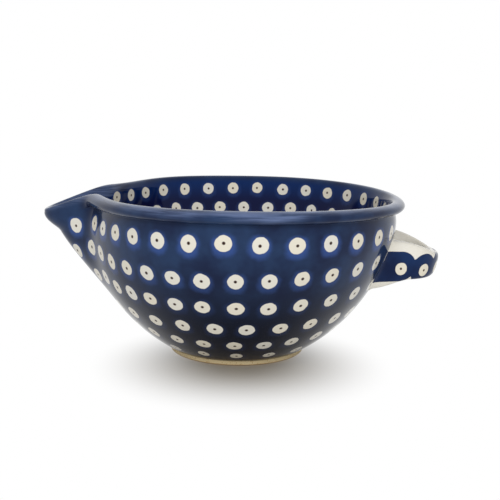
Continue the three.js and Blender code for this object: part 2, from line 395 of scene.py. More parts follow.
class Dots:
    def __init__(self, seed):
        self.chance = np.random.default_rng(seed)
        self.spots, self.rights, self.ups, self.outs, self.tones = [], [], [], [], []

    def add(self, spot, right, up, radius):
        turn = self.chance.normal(0, DOT_TURN)
        squash = self.chance.normal(0, DOT_SQUASH)
        size = radius * self.chance.normal(1, DOT_SIZE)
        cos, sin = math.cos(turn), math.sin(turn)
        self.spots.append(spot)
        self.rights.append((right * cos + up * sin) / (size * (1 + squash)))
        self.ups.append((up * cos - right * sin) / (size * (1 - squash)))
        self.outs.append(np.cross(right, up) / size)
        self.tones.append(self.chance.uniform(0, 1, 2))

    def sort(self):
        self.nearest = kdtree.KDTree(len(self.spots))
        for number, spot in enumerate(self.spots):
            self.nearest.insert(spot, number)
        self.nearest.balance()
        self.spots, self.rights, self.ups, self.outs, self.tones = map(
            np.array, (self.spots, self.rights, self.ups, self.outs, self.tones))

    def stamp(self, corners, places):
        near = np.array([self.nearest.find(middle)[1] for middle in places.mean(axis=1)])
        away = places - self.spots[near][:, None]
        ways = (self.rights, self.ups, self.outs)
        across, up, out = [(away * way[near][:, None]).sum(axis=-1) for way in ways]
        flat = np.maximum(np.hypot(across, up), TINY)
        stamps = np.stack([across, up], axis=-1) * (np.hypot(flat, out) / flat)[..., None]
        return stamps, np.repeat(self.tones[near][:, None], corners.shape[1], axis=1)


# Rows of dots outside: dot, height at the front, lean up to the spout, rise to spout and handle,
# lift on the beak's flanks, count, start, crowding to the spout
OUTSIDE_ROWS = (
    (4.4, 80.8, 1.0, 0.0, 0.0, 32, 13.2, 0.1127),
    (4.4, 60.4, 0.0, 4.8, 3.0, 33, 11.0, 0.16),
    (4.4, 44.3, 0.0, 4.6, 3.0, 31, 20.7, 0.23),
    (4.4, 30.2, 0.0, 2.6, 0.0, 25, 37.1, 0.0),
    (4.2, 17.8, 0.0, 4.0, 0.0, 23, 41.6, 0.0),
    (3.6, 8.8, 0.0, 1.5, 0.0, 17, 47.1, 0.0),
)
FLANK_ANGLE, FLANK_SPREAD = math.radians(22), math.radians(9)
# A dot that would reach under the lip's chin sits lower
CHIN_DROP, CHIN_SPREAD = 4.0, math.radians(6)
# Rows inside: the two under the rim, as height, count and start, then rows down to the middle
INSIDE_DOT = 3.85
INSIDE_ROWS = (
    (90.0, 32, 30.9),
    (76.8, 33, 59.74),
)
INSIDE_PITCH = 13.6
INSIDE_GAP = 17.6
INSIDE_TURN = math.radians(6)


def placed(line, run, angle):
    radius, height = at_runs(line, [run])[0]
    return shaped(radius, height, angle)


def add_dot(dots, line, run, angle, radius):
    """A dot on the bowl at a distance along its section and at an angle from the spout."""
    nudge = dots.chance.normal(0, DOT_SWAY, 2)
    run = run + nudge[0]
    away = max(at_runs(line, [run])[0][0], LEAST_RADIUS)
    angle = half_turn(angle + nudge[1] / away)
    spot = placed(line, run, angle)
    up = unit(placed(line, run + DOT_STEP, angle) - placed(line, run - DOT_STEP, angle))
    width = DOT_STEP / away
    right = unit(placed(line, run, angle + width) - placed(line, run, angle - width))
    right = unit(right - up * right.dot(up))
    dots.add(spot, right, up, radius)


def outside_dots():
    dots = Dots(OUTSIDE_SEED)
    runs = run_along(outer_wall)
    for radius, height, lean, rise, lift, count, start, crowding in OUTSIDE_ROWS:
        for turn in np.radians(start + np.arange(count) * 360 / count):
            angle = half_turn(crowding * math.sin(turn) - turn)
            level = height + lean * math.cos(angle) + rise * math.cos(angle) ** 2
            level += lift * both_sides(angle, FLANK_ANGLE, FLANK_SPREAD)
            if level > LIP_SMOOTH_FROM:
                level -= CHIN_DROP * bell(angle, CHIN_SPREAD)
            add_dot(dots, outer_wall, np.interp(level, outer_wall[:, 1], runs), angle, radius)
    dots.sort()
    return dots


def inside_dots():
    dots = Dots(INSIDE_SEED)
    line = np.vstack([section[CREST:], (0, FLOOR_TOP)])[::-1]
    runs = run_along(line)
    for height, count, start in INSIDE_ROWS:
        for turn in np.radians(start + np.arange(count) * 360 / count):
            add_dot(dots, line, np.interp(height, line[:, 1], runs), turn, INSIDE_DOT)
    lowest = np.interp(INSIDE_ROWS[-1][0], line[:, 1], runs)
    for row in range(1, int(lowest / INSIDE_PITCH) + 1):
        run = lowest - row * INSIDE_PITCH
        around = 2 * math.pi * at_runs(line, [run])[0][0]
        count = max(1, round(around / INSIDE_GAP))
        for turn in INSIDE_TURN * row + np.arange(count) * 2 * math.pi / count:
            add_dot(dots, line, run, turn, INSIDE_DOT)
    dots.sort()
    return dots


# Painted sheen over the rim's roll, weaker along the spout's lip, but there on the inside too
LIP_BAND, LIP_BAND_FULL = 0.62, 0.85
LIP_BAND_FROM = math.radians(10)
# Mark of the bowl's inside, in the place of the rim's painted sheen
INSIDE_MARK = (-1.0, 9.0)


def lined(corners):
    """The inside's mark for each corner."""
    return np.full(corners.shape + (2,), INSIDE_MARK)


# Bowl: one shaped grid, parted at the spout's seams and under the rim
def bowl_grid():
    seam = np.degrees(SPOUT_SEAM)
    spout = np.linspace(-seam, seam, SPOUT_COLUMNS + 1)
    rest = np.linspace(seam, 360 - seam, BOWL_COLUMNS + 1)[1:-1]
    angle = np.radians(np.concatenate([spout, rest]))
    facing = half_turn(angle)
    radius = np.repeat(section[:, :1], len(angle), axis=1)
    height = np.repeat(section[:, 1:], len(angle), axis=1)
    faded_crease(radius, height, facing)
    places = shaped(radius, height, facing[None])
    wrapped = np.concatenate([places[:, -1:], places, places[:, :1]], axis=1)
    turns = np.concatenate([angle[-1:] - 2 * math.pi, angle, angle[:1] + 2 * math.pi])
    down = np.gradient(places, run_along(section), axis=0)
    around = np.gradient(wrapped, turns, axis=1)[:, 1:-1]
    normals = unit(np.cross(down, around))
    middles = np.array([(0, 0, FOOT_HEIGHT), (0, 0, FLOOR_TOP)])
    all_places = np.vstack([places.reshape(-1, 3), middles])
    all_normals = np.vstack([normals.reshape(-1, 3), [(0, 0, -1), (0, 0, 1)]])
    return all_places, all_normals, np.arange(places[..., 0].size).reshape(places.shape[:2])


def fan(ring, middle, inside):
    """Triangles from a ring to its middle, facing up inside the bowl and down under it."""
    hub = np.full(len(ring) - 1, middle)
    return np.stack([ring[:-1], hub, ring[1:]] if inside else [hub, ring[:-1], ring[1:]], axis=-1)


def make_bowl(navy, cream):
    places, normals, ids = bowl_grid()
    outside, inside = outside_dots(), inside_dots()
    columns = ids.shape[1]
    whole = np.r_[0:columns, 0]
    spout = np.arange(SPOUT_COLUMNS + 1)
    bowl = np.r_[SPOUT_COLUMNS:columns, 0]
    seams = (SPOUT_COLUMNS, 0)
    wall_edge = np.stack([ids[ROOT_OUT:TOP_OUT + 1], ids[ROOT_IN:TOP_IN - 1:-1]])
    half = (TOP_IN - TOP_OUT + 1) // 2
    bead_edge = np.stack([ids[TOP_OUT:TOP_OUT + half], ids[TOP_IN:TOP_IN - half:-1]])

    body = Clay(places, normals)
    body.keep(fan(ids[0][whole], len(places) - 2, False), paint=1)
    body.lay(ids[:HEEL_ROW + 1][:, whole], paint=1)
    body.lay(ids[HEEL_ROW:ROOT_OUT + 1][:, whole], outside)
    body.lay(ids[ROOT_OUT:TOP_OUT + 1][:, bowl], outside)
    body.lay(ids[TOP_IN:ROOT_IN + 1][:, bowl], inside, lined)
    body.lay(ids[ROOT_IN:][:, whole], inside, lined)
    body.keep(fan(ids[-1][whole], len(places) - 1, True), inside, lined)
    body.lay(ids[[ROOT_OUT, ROOT_IN]][:, spout], smooth=False)
    body.lay(ids[[TOP_OUT, TOP_IN]][:, bowl], smooth=False)
    body.lay(wall_edge[:, :, seams[0]], smooth=False)
    body.lay(wall_edge[::-1, :, seams[1]], smooth=False)
    body.fired("glazed_bowl_wall", "bowl_body", (navy, cream))

    beak = Clay(places, normals)
    beak.lay(ids[ROOT_OUT:TOP_OUT + 1][:, spout], outside)
    beak.lay(ids[TOP_IN:ROOT_IN + 1][:, spout], inside, lined)
    beak.lay(ids[[ROOT_IN, ROOT_OUT]][:, spout], smooth=False)
    beak.lay(ids[[TOP_OUT, TOP_IN]][:, spout], smooth=False)
    beak.lay(wall_edge[::-1, :, seams[0]], smooth=False)
    beak.lay(wall_edge[:, :, seams[1]], smooth=False)
    beak.fired("glazed_spout_beak", "spout_beak", (navy,))

    runs = run_along(section) - run_along(section)[TOP_OUT]
    runs = runs / runs[CREST]
    away = np.abs(np.arctan2(places[:-2, 1], -places[:-2, 0])).reshape(ids.shape)
    # Share of the painted sheen on the rim, weaker along the spout's lip
    lip = 1 - eased((away - LIP_BAND_FROM) / (SPOUT_SEAM - LIP_BAND_FROM))
    across = runs[:, None] - np.maximum(runs[:, None] - LIP_BAND_FULL, 0) * lip
    rim_sheen = np.stack([1 - (1 - LIP_BAND) * lip, across], axis=-1).reshape(-1, 2)

    def sheen_band(corners):
        """How strong the painted sheen is on the rim, and how far a corner lies from the crease to the crest.
        """
        return rim_sheen[corners]

    for name, node, stretch, order in (
        ("glazed_rim_roll", "rim_bead", bowl, 1),
        ("glazed_spout_lip", "spout_lip", spout, -1),
    ):
        bead = Clay(places, normals)
        bead.lay(ids[TOP_OUT:CREST + 1][:, stretch], band=sheen_band)
        bead.lay(ids[CREST:TOP_IN + 1][:, stretch], inside, sheen_band)
        bead.lay(ids[[TOP_IN, TOP_OUT]][:, stretch], smooth=False)
        bead.lay(bead_edge[::order, :, seams[0]], smooth=False)
        bead.lay(bead_edge[::-order, :, seams[1]], smooth=False)
        bead.fired(name, node, (navy,))


# Handle: strands along the strap, each from wall to wall, over a section with rounded edges
# Discs on it, from the loop's middle to the wall: run, height of the dot, lift over the dot, radius
HANDLE_DISCS = (
    (0.0, 55.4, 0.5, 8.9),
    (14.2, 55.4, 0.5, 8.9),
    (28.5, 55.2, 0.2, 9.6),
    (44.8, 56.7, 1.3, 9.2),
)
HANDLE_DOT = 3.75
DISC_CHANCES = (0.37, 0.61)
LEG_OFFSET = (HANDLE_WIDTH - STRAP_THICKNESS) / 2
LOOP_START = math.sqrt(wall_radius(ROOT_TOP) ** 2 - LEG_OFFSET**2)
LOOP_END = LOOP_START + HANDLE_DEPTH - STRAP_THICKNESS / 2
LEG_FOOT = math.sqrt(wall_radius(ROOT_BOTTOM) ** 2 - LEG_OFFSET**2)
LEG_END = LEG_FOOT - STRAP_THICKNESS


def loop_line():
    """The strap's middle line seen from above, the way out from it and the run of its outer face."""
    turn = np.linspace(-math.pi / 2, math.pi / 2, FINE)
    bend = LOOP_START + (LOOP_END - LOOP_START) * rounded(np.cos(turn).clip(0), LOOP_SQUARENESS)
    loop = np.stack([bend, LEG_OFFSET * rounded(np.sin(turn), LOOP_SQUARENESS)], axis=1)
    leg = np.linspace(LEG_END, LOOP_START, LEG_STEPS)[:-1]
    near, far = [np.stack([leg, np.full(len(leg), side * LEG_OFFSET)], axis=1) for side in (-1, 1)]
    line = evenly(np.vstack([near, loop, far[::-1]]), FINE)
    along = unit(np.gradient(line, axis=0))
    out = np.stack([along[:, 1], -along[:, 0]], axis=1)
    run = run_along(line + out * STRAP_THICKNESS / 2)
    return line, out, run - run[-1] / 2


def strap_strand(line, out, run, up, across):
    """One strand of the strap, fitted between its edges as in the solids."""
    x, y = (line + out * across).T
    bend = ((x - LOOP_START) / (LOOP_END - LOOP_START)).clip(0, 1)
    top = ROOT_TOP - LOOP_TOP_FALL * bend**TOP_FALL_POWER
    bottom = ROOT_BOTTOM + LOOP_BOTTOM_RISE * eased((x - LEG_FOOT) / BOTTOM_FLARE)
    height = bottom + (top - bottom) * (up + 1) / 2
    from_wall = (np.hypot(x, y) - wall_radius(height)).clip(0)
    swell = ROOT_SWELL * np.exp(-from_wall / ROOT_SWELL_LENGTH) / (STRAP_THICKNESS / 2)
    y = y + np.sign(y) * (np.abs(y) - LEG_OFFSET) * swell
    x = x - LOOP_LEAN * bend * (1 - up) / 2
    clear = np.nonzero(np.hypot(x, y) > wall_radius(height) - ROOT_SINK)[0]
    clear = slice(clear[0], clear[-1] + 1)
    return np.stack([x, y, height], axis=1)[clear], np.column_stack([out, run])[clear]


def handle_grid():
    line, out, run = loop_line()
    turns = 2 * math.pi * (np.arange(SECTION_STRANDS) + 0.5) / SECTION_STRANDS
    ups = rounded(np.cos(turns), STRAP_SQUARENESS)
    acrosses = -rounded(np.sin(turns), STRAP_SQUARENESS)
    root = ROOT_LENGTH * np.linspace(0, 1, ROOT_ROWS + 1) ** ROOT_CROWDING
    strands, outer_runs = [], []
    for up, across in zip(ups, acrosses):
        strand, beside = strap_strand(line, out, run, up, across * STRAP_THICKNESS / 2)
        length = run_along(strand)[-1]
        middle = np.linspace(ROOT_LENGTH, length - ROOT_LENGTH, STRAP_ROWS + 1)[1:-1]
        runs = np.concatenate([root, middle, length - root[::-1]])
        places = at_runs(strand, runs)
        steps = np.arange(len(strand))
        shares = np.interp(runs, run_along(strand), steps)
        ways = np.stack([np.interp(shares, steps, column) for column in beside.T[:2]], axis=1)
        outer_runs.append(np.interp(shares, steps, beside[:, 2]))
        flare = ROOT_FILLET * np.exp(-np.minimum(runs, length - runs) / ROOT_FILLET_REACH)
        weight = unit(np.array([across, up]))
        places[:, :2] += ways * (flare * weight[0])[:, None]
        places[:, 2] += flare * weight[1]
        for end in (0, -1):
            reach = wall_radius(places[end, 2]) - ROOT_SINK
            places[end, 0] = math.sqrt(reach**2 - places[end, 1] ** 2)
        strands.append(places)
    places = np.stack(strands, axis=1)
    wrapped = np.concatenate([places[:, -1:], places, places[:, :1]], axis=1)
    girth = np.linalg.norm(np.diff(wrapped, axis=1), axis=-1).mean(axis=0).cumsum()
    along = np.gradient(places, run_along(places.mean(axis=1)), axis=0)
    around = np.gradient(wrapped, np.concatenate([[0], girth]), axis=1)[:, 1:-1]
    normals = unit(np.cross(along, around))
    return places, normals, np.stack(outer_runs, axis=1), len(root) - 1


class Discs:
    """Navy discs in a row along the strap's outer face, laid out by their run along it and their height."""

    def __init__(self, places, runs):
        self.flat = np.stack([runs, places[..., 2]], axis=-1).reshape(-1, 2)

    def outside_only(self, corners, layout):
        """Nothing is stamped or painted on the strap's inner side."""
        inner = (corners % SECTION_STRANDS < SECTION_STRANDS // 2).any(axis=1)
        return np.where(inner[:, None, None], NO_STAMP, layout)

    def stamp(self, corners, places):
        flat = self.flat[corners]
        spots = np.array([(side * disc[0], disc[1]) for disc in HANDLE_DISCS for side in (-1, 1)])
        near = np.linalg.norm(flat.mean(axis=1)[:, None] - spots, axis=-1).argmin(axis=1)
        stamps = (flat - spots[near][:, None]) / HANDLE_DOT
        chances = np.stack([near * chance % 1 for chance in DISC_CHANCES], axis=-1)
        return self.outside_only(corners, stamps), np.repeat(chances[:, None], corners.shape[1], axis=1)

    def band(self, corners):
        """How far out in the nearest disc a corner lies; the last disc runs straight on to the wall."""
        flat = self.flat[corners]
        reach = np.full(corners.shape, np.inf)
        for run, height, lift, radius in HANDLE_DISCS:
            across = np.abs(flat[..., 0]) - run
            if run == HANDLE_DISCS[-1][0]:
                across = np.minimum(across, 0)
            reach = np.minimum(reach, np.hypot(across, flat[..., 1] - height - lift) / radius)
        return self.outside_only(corners, np.stack([reach, reach], axis=-1))


def make_handle(cream):
    places, normals, runs, root = handle_grid()
    discs = Discs(places, runs)
    ids = np.arange(places[..., 0].size).reshape(places.shape[:2])
    whole = np.r_[0:SECTION_STRANDS, 0]
    half = SECTION_STRANDS // 2
    for name, node, first, last in (
        ("handle_root_near", "handle_root_front", 0, root),
        ("handle_loop", "handle_strap", root, len(ids) - 1 - root),
        ("handle_root_far", "handle_root_back", len(ids) - 1 - root, len(ids) - 1),
    ):
        clay = Clay(places.reshape(-1, 3), normals.reshape(-1, 3))
        clay.lay(ids[first:last + 1][:, whole], discs, discs.band)
        for row, order in ((first, 1), (last, -1)):
            edge = np.stack([ids[row, :half], ids[row, :half - 1:-1]])
            clay.lay(edge[::order], smooth=False)
        clay.fired(name, node, (cream,))


# Foot ring: bare clay, its edges rubbed round
def make_foot(biscuit):
    outer = FOOT_TOP_RADIUS - HEEL_STEP
    inner = outer - FOOT_WIDTH
    edge = (FOOT_EDGE, FOOT_EDGE)
    outline = np.vstack([
        [(inner - FOOT_LEAN, FOOT_HEIGHT)],
        evenly(arc((inner + FOOT_EDGE, FOOT_EDGE), edge, 180, 270), FOOT_EDGE_ROWS),
        [(inner + share * FOOT_WIDTH, 0) for share in FOOT_SHARES],
        evenly(arc((outer - FOOT_EDGE, FOOT_EDGE), edge, 270, 360), FOOT_EDGE_ROWS),
        [(FOOT_TOP_RADIUS - FOOT_TOP_STEP, FOOT_HEIGHT * FOOT_TOP_SHARE)],
        [(FOOT_TOP_RADIUS, FOOT_HEIGHT)],
    ])
    angle = np.linspace(0, 2 * math.pi, FOOT_COLUMNS, endpoint=False)
    radius, height = outline[:, :1], np.repeat(outline[:, 1:], FOOT_COLUMNS, axis=1)
    places = np.stack([-radius * np.cos(angle), radius * np.sin(angle), height], axis=-1)
    along = np.gradient(places, run_along(outline), axis=0)
    around = np.stack([np.sin(angle), np.cos(angle), np.zeros(FOOT_COLUMNS)], axis=-1)
    normals = unit(np.cross(along, np.broadcast_to(around, along.shape)))
    ids = np.arange(places[..., 0].size).reshape(places.shape[:2])
    whole = np.r_[0:FOOT_COLUMNS, 0]
    foot = Clay(places.reshape(-1, 3), normals.reshape(-1, 3))
    foot.lay(ids[:, whole])
    foot.lay(ids[[-1, 0]][:, whole], smooth=False)
    foot.fired("bare_foot_ring", "foot_ring", (biscuit,))


# Shader nodes
def colour(code):
    """A colour written as on a screen, in the linear light that shaders use."""
    parts = [int(code[i:i + 2], 16) / 255 for i in (1, 3, 5)]
    return tuple(p / 12.92 if p <= 0.04045 else ((p + 0.055) / 1.055) ** 2.4 for p in parts) + (1.0,)


def add(tree, kind, values=None, **settings):
    node = tree.nodes.new(kind)
    for name, value in settings.items():
        setattr(node, name, value)
    for socket, value in (values or {}).items():
        if isinstance(value, bpy.types.NodeSocket):
            tree.links.new(value, node.inputs[socket])
        else:
            node.inputs[socket].default_value = value
    return node


def calc(tree, operation, a, b=0.0):
    return add(tree, "ShaderNodeMath", {0: a, 1: b}, operation=operation).outputs[0]


def vector(tree, operation, a, b):
    return add(tree, "ShaderNodeVectorMath", {0: a, 1: b}, operation=operation).outputs[0]


def distance(tree, a, b):
    return add(tree, "ShaderNodeVectorMath", {0: a, 1: b}, operation="DISTANCE").outputs["Value"]


def fall(tree, value, full, gone):
    """One up to full, and down to nothing at gone."""
    values = {"Value": value, "From Min": gone, "From Max": full}
    return add(tree, "ShaderNodeMapRange", values, interpolation_type="SMOOTHSTEP").outputs[0]


def blend(tree, share, a, b):
    return add(tree, "ShaderNodeMix", {0: share, 6: a, 7: b}, data_type="RGBA").outputs[2]


def noise(tree, where, scale, detail=2.0, roughness=0.5):
    values = {"Vector": where, "Scale": scale, "Detail": detail, "Roughness": roughness}
    return add(tree, "ShaderNodeTexNoise", values).outputs["Fac"]


def new_group(name, inputs, outputs):
    group = bpy.data.node_groups.new(name, "ShaderNodeTree")
    for label, kind in inputs:
        group.interface.new_socket(label, in_out="INPUT", socket_type=kind)
    for label in outputs:
        group.interface.new_socket(label, in_out="OUTPUT", socket_type="NodeSocketFloat")
    return group, group.nodes.new("NodeGroupInput").outputs, group.nodes.new("NodeGroupOutput").inputs


# Noise that is slow and soft, or fine and broken
SOFT_DETAIL, BROKEN_DETAIL, BROKEN_ROUGHNESS = 1.0, 3.0, 0.6
# A stamped dot, in dot radii: its ragged edge, the brown point adrift in it and the bleed hanging below it
OWN_NOISE = (37.0, 53.0, 0.0)
RAGGED_SCALE = 1.1
DOT_RAGGED, DOT_FULL, DOT_GONE = 0.22, 0.95, 1.05
NO_DRIFT, POINT_DRIFT = (0.5, 0.5, 0.0), 0.14
POINT_RAGGED, POINT_FULL, POINT_GONE = 0.08, 0.13, 0.26
BLEED_HANG = (0.0, 0.3, 0.0)
BLEED_SQUARENESS = 2.5
BLEED_RAGGED, BLEED_FULL, BLEED_GONE = 0.5, 0.9, 1.75
# The flow of a glaze: where it pools, and the spread of its polish
POOL_FULL, POOL_GONE = 0.7, 0.3
RUB_SCALE = 260.0
POLISH_SPREAD, POLISH_LEAST = 0.05, 0.035


def stamped_dot_group():
    """A dot set by a sponge stamp: its own round, the brown point in it and the cobalt bleed about it."""
    inputs = (("Place", "NodeSocketVector"), ("Chance", "NodeSocketVector"))
    group, given, out = new_group("stamped dot", inputs, ("Dot", "Point", "Bleed"))
    place, chance = given["Place"], given["Chance"]
    own = vector(group, "ADD", place, vector(group, "MULTIPLY", chance, OWN_NOISE))
    ragged = calc(group, "SUBTRACT", noise(group, own, RAGGED_SCALE), 0.5)
    away = add(group, "ShaderNodeVectorMath", {0: place}, operation="LENGTH").outputs["Value"]
    reach = calc(group, "ADD", away, calc(group, "MULTIPLY", ragged, DOT_RAGGED))
    group.links.new(fall(group, reach, DOT_FULL, DOT_GONE), out["Dot"])
    centred = vector(group, "SUBTRACT", chance, NO_DRIFT)
    drift = add(group, "ShaderNodeVectorMath", {0: centred, "Scale": POINT_DRIFT}, operation="SCALE")
    off = distance(group, place, drift.outputs[0])
    speck = calc(group, "ADD", off, calc(group, "MULTIPLY", ragged, POINT_RAGGED))
    group.links.new(fall(group, speck, POINT_FULL, POINT_GONE), out["Point"])
    sides = add(group, "ShaderNodeSeparateXYZ", {0: vector(group, "ADD", place, BLEED_HANG)}).outputs
    wide, tall = [calc(group, "POWER", calc(group, "ABSOLUTE", side), BLEED_SQUARENESS) for side in sides[:2]]
    square = calc(group, "POWER", calc(group, "ADD", wide, tall), 1 / BLEED_SQUARENESS)
    bleed = calc(group, "ADD", square, calc(group, "MULTIPLY", ragged, BLEED_RAGGED))
    group.links.new(fall(group, bleed, BLEED_FULL, BLEED_GONE), out["Bleed"])
    return group


def glaze_group():
    """A glaze that flowed in the kiln: slow ripples, pools of deeper colour and a polish that varies."""
    inputs = (("Ripple Scale", "NodeSocketFloat"), ("Pool Scale", "NodeSocketFloat"))
    group, given, out = new_group("flowed glaze", inputs, ("Ripple", "Pool", "Polish"))
    where = add(group, "ShaderNodeTexCoord").outputs["Object"]
    group.links.new(noise(group, where, given["Ripple Scale"], SOFT_DETAIL), out["Ripple"])
    pool = noise(group, where, given["Pool Scale"], BROKEN_DETAIL, BROKEN_ROUGHNESS)
    group.links.new(fall(group, pool, POOL_FULL, POOL_GONE), out["Pool"])
    rub = calc(group, "MULTIPLY", noise(group, where, RUB_SCALE), POLISH_SPREAD)
    group.links.new(calc(group, "ADD", rub, POLISH_LEAST), out["Polish"])
    return group


def new_material(name):
    material = bpy.data.materials.new(name)
    material.use_nodes = True
    tree = material.node_tree
    return material, tree, tree.nodes["Principled BSDF"]


def uv(tree, name):
    return add(tree, "ShaderNodeUVMap", uv_map=name).outputs[0]


def use_group(tree, group, values):
    return add(tree, "ShaderNodeGroup", values, node_tree=group).outputs


def bump(tree, height, strength, depth):
    values = {"Height": height, "Strength": strength, "Distance": depth}
    return add(tree, "ShaderNodeBump", values).outputs[0]


# Gloss of both glazes, and the ripple in it
GLAZE_IOR = 1.27
GLAZE_TINT = (0.45, 0.6, 1.0, 1.0)
RIPPLE_STRENGTH, RIPPLE_DEPTH = 0.25, 1 * MM
# Navy glaze: deep, thin, darker towards the foot as painted shade, bled round a dot, with a painted sheen on
# the rim, and inside
NAVY_DEEP, NAVY_THIN, NAVY_PAINTED_LOW_SHADE = colour("#1b2440"), colour("#283b5c"), colour("#04081a")
NAVY_BLEED, NAVY_PAINTED_SHEEN = colour("#3a5596"), colour("#66769c")
NAVY_LINED, NAVY_COBALT = colour("#0f1138"), colour("#0a265a")
NAVY_RIPPLES, NAVY_POOLS = 55.0, 42.0
# Heights over which the navy is painted darker towards the foot, as painted shade
LOW_SHADE_FULL, LOW_SHADE_GONE = 28 * MM, 76 * MM
LINED_LOW, LINED_HIGH = 80 * MM, 94 * MM
# The bleed round a dot is the stamp's own; its weakening lower on the wall is painted shade
BLEED_FROM, BLEED_TO = 40 * MM, 84 * MM
BLEED_LOW, BLEED_HIGH, BLEED_LINED = 0.12, 0.85, 0.25
DOT_CREAM, DOT_PALE = colour("#eae3d0"), colour("#e6e3d8")
DOT_BROWN = colour("#3a2418")
# Painted sheen: streaks of highlight along the rim, and the band from crease to crest that they keep to
STREAK_STRETCH = (45.0, 45.0, 900.0)
STREAK_FULL, STREAK_GONE = 0.72, 0.2
WANDER_SCALE, WANDER_REACH = 16.0, 1.2
SHEEN_FROM, SHEEN_FULL = 0.4, 0.8
SHEEN_TO, SHEEN_GONE = 0.9, 1.2
# The inside's navy: its mark, and its reach over the back of the rim's roll
MARK_FULL, MARK_GONE = -0.9, -0.1
BACK_FROM, BACK_FULL = 1.1, 1.45
BACK_TO, BACK_GONE = 2.0, 3.0
# Cream glaze, and the navy discs on it with a wandering edge
CREAM_DEEP, CREAM_THIN = colour("#ebe6d8"), colour("#f1ede2")
CREAM_RIPPLES, CREAM_POOLS = 60.0, 50.0
DISC_DEEP, DISC_THIN = colour("#121d3e"), colour("#1a305a")
DISC_WANDER, DISC_FULL, DISC_GONE = 0.12, 0.985, 1.025
# Bare clay: its clouds and grain, toasted where it stood and darkened there by a painted contact shadow
# Both clay colours are somewhat darker than the pale clay, as painted shade under the bowl
CLAY_DARK, CLAY_PALE = colour("#ccb88c"), colour("#d7c8a4")
CLAY_SPECK, CLAY_TOASTED_AND_SHADED = colour("#ad9062"), colour("#a5845a")
GRAIN_SCALE, CLOUD_SCALE = 1400.0, 90.0
SPECK_FULL, SPECK_GONE = 0.36, 0.44
TOAST_AND_SHADE_FULL, TOAST_AND_SHADE_GONE = 0.3 * MM, 0.9 * MM
CLAY_ROUGH_SPREAD, CLAY_ROUGH_LEAST = 0.2, 0.7
GRAIN_STRENGTH, GRAIN_DEPTH = 0.3, 0.3 * MM


def painted_sheen_streaks(tree, sheen_and_inside_mark, across, where):
    """Painted sheen on the rim, in streaks of highlight along it, over a band whose lower edge wanders."""
    drawn = vector(tree, "MULTIPLY", where, STREAK_STRETCH)
    broken = noise(tree, drawn, 1.0, BROKEN_DETAIL, BROKEN_ROUGHNESS)
    streaks = fall(tree, broken, STREAK_FULL, STREAK_GONE)
    slow = calc(tree, "SUBTRACT", noise(tree, where, WANDER_SCALE, SOFT_DETAIL), 0.5)
    wander = calc(tree, "ADD", across, calc(tree, "MULTIPLY", slow, WANDER_REACH))
    lower = fall(tree, wander, SHEEN_FULL, SHEEN_FROM)
    rolled = calc(tree, "MULTIPLY", lower, fall(tree, across, SHEEN_TO, SHEEN_GONE))
    return calc(tree, "MULTIPLY", calc(tree, "MULTIPLY", streaks, rolled), sheen_and_inside_mark)


def lining(tree, sheen_and_inside_mark, across):
    """Where the navy is that of the inside: on its wall and floor, and over the back of the rim's roll."""
    over = fall(tree, across, BACK_FULL, BACK_FROM)
    back = calc(tree, "MULTIPLY", over, fall(tree, across, BACK_TO, BACK_GONE))
    return calc(tree, "MAXIMUM", fall(tree, sheen_and_inside_mark, MARK_FULL, MARK_GONE), back)


def glossed(tree, skin, paint, flow):
    """The gloss that both glazes have over their colour."""
    tree.links.new(paint, skin.inputs["Base Color"])
    tree.links.new(flow["Polish"], skin.inputs["Roughness"])
    ripple = bump(tree, flow["Ripple"], RIPPLE_STRENGTH, RIPPLE_DEPTH)
    tree.links.new(ripple, skin.inputs["Normal"])
    skin.inputs["IOR"].default_value = GLAZE_IOR
    skin.inputs["Specular Tint"].default_value = GLAZE_TINT


def navy_glaze(dot_group, flow_group):
    material, tree, skin = new_material("dotted navy glaze")
    dot = use_group(tree, dot_group, {"Place": uv(tree, "stamp"), "Chance": uv(tree, "chance")})
    flow = use_group(tree, flow_group, {"Ripple Scale": NAVY_RIPPLES, "Pool Scale": NAVY_POOLS})
    where = add(tree, "ShaderNodeTexCoord").outputs["Object"]
    height = add(tree, "ShaderNodeSeparateXYZ", {0: where}).outputs[2]
    sheen_and_inside_mark, across = add(tree, "ShaderNodeSeparateXYZ", {0: uv(tree, "band")}).outputs[:2]
    flowed = blend(tree, flow["Pool"], NAVY_DEEP, NAVY_THIN)
    # Painted shade: the navy turns darker towards the foot
    low_shaded = blend(tree, fall(tree, height, LOW_SHADE_FULL, LOW_SHADE_GONE), flowed, NAVY_PAINTED_LOW_SHADE)
    deep = blend(tree, fall(tree, height, LINED_LOW, LINED_HIGH), NAVY_COBALT, NAVY_LINED)
    inside = lining(tree, sheen_and_inside_mark, across)
    both = blend(tree, inside, low_shaded, deep)
    # Painted highlight: a lighter blue sheen in streaks along the rim's roll, in place of the gloss's
    # reflection
    navy = blend(tree, painted_sheen_streaks(tree, sheen_and_inside_mark, across, where), both, NAVY_PAINTED_SHEEN)
    # Painted shade: the bleed weakens lower on the wall
    levels = {"From Min": BLEED_FROM, "From Max": BLEED_TO, "To Min": BLEED_LOW, "To Max": BLEED_HIGH}
    outer = add(tree, "ShaderNodeMapRange", {"Value": height, **levels}).outputs[0]
    strength = add(tree, "ShaderNodeMix", {0: inside, 2: outer, 3: BLEED_LINED}).outputs[0]
    bled = blend(tree, calc(tree, "MULTIPLY", dot["Bleed"], strength), navy, NAVY_BLEED)
    tint = add(tree, "ShaderNodeSeparateXYZ", {0: uv(tree, "chance")}).outputs[0]
    cream = blend(tree, tint, DOT_CREAM, DOT_PALE)
    dotted = blend(tree, dot["Dot"], bled, cream)
    glossed(tree, skin, blend(tree, dot["Point"], dotted, DOT_BROWN), flow)
    return material


